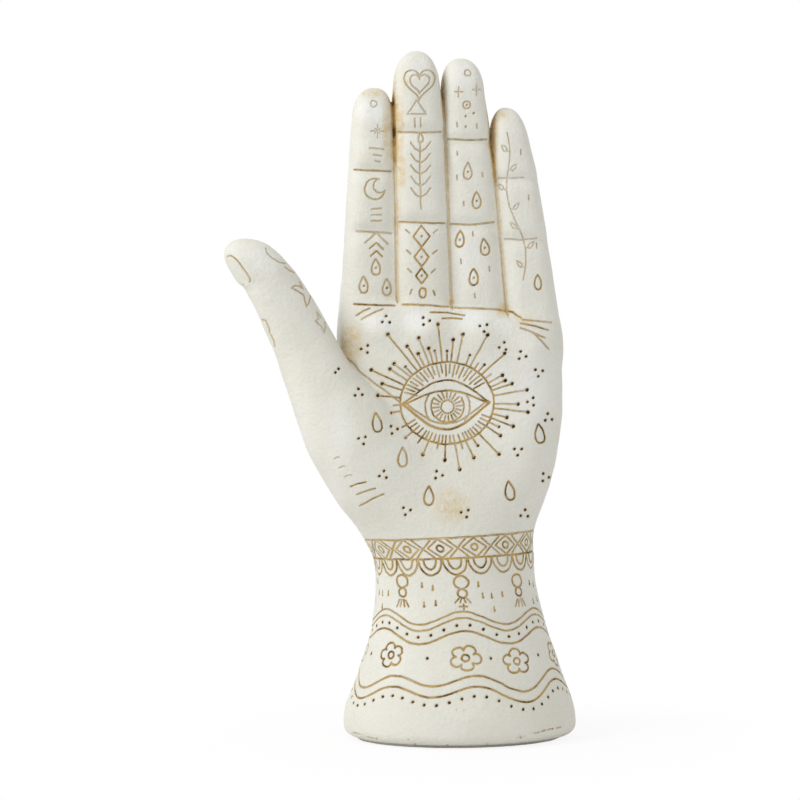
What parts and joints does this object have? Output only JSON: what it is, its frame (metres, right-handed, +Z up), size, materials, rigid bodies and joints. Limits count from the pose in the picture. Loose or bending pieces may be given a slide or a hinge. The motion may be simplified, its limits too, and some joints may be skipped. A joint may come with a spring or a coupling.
{
  "type": "ceramic hand sculpture",
  "caption": "Open ceramic hand, palm to the front, standing on a flared wrist cuff; a tabletop ornament with incised, brown-washed palmistry motifs.",
  "frame": {"origin": "middle of the felt's underside, where the sculpture stands", "axes": "+Z up along the hand, -Y out of the palm towards the viewer, -X towards the thumb"},
  "size_m": [0.1356, 0.07, 0.2622],
  "materials": {
    "washed_ceramic": "matte off-white ceramic with a brown wash rubbed into the incised lines",
    "bare_bisque": "unglazed bisque",
    "base_felt": "pressed wool felt"
  },
  "bodies": {
    "root": {"palm_body": "washed_ceramic", "index_finger": "washed_ceramic", "middle_finger": "washed_ceramic", "ring_finger": "washed_ceramic", "little_finger": "washed_ceramic", "thumb": "washed_ceramic", "wrist_cuff": "washed_ceramic", "base_disc": "bare_bisque", "base_felt": "base_felt"}
  },
  "joints": []
}
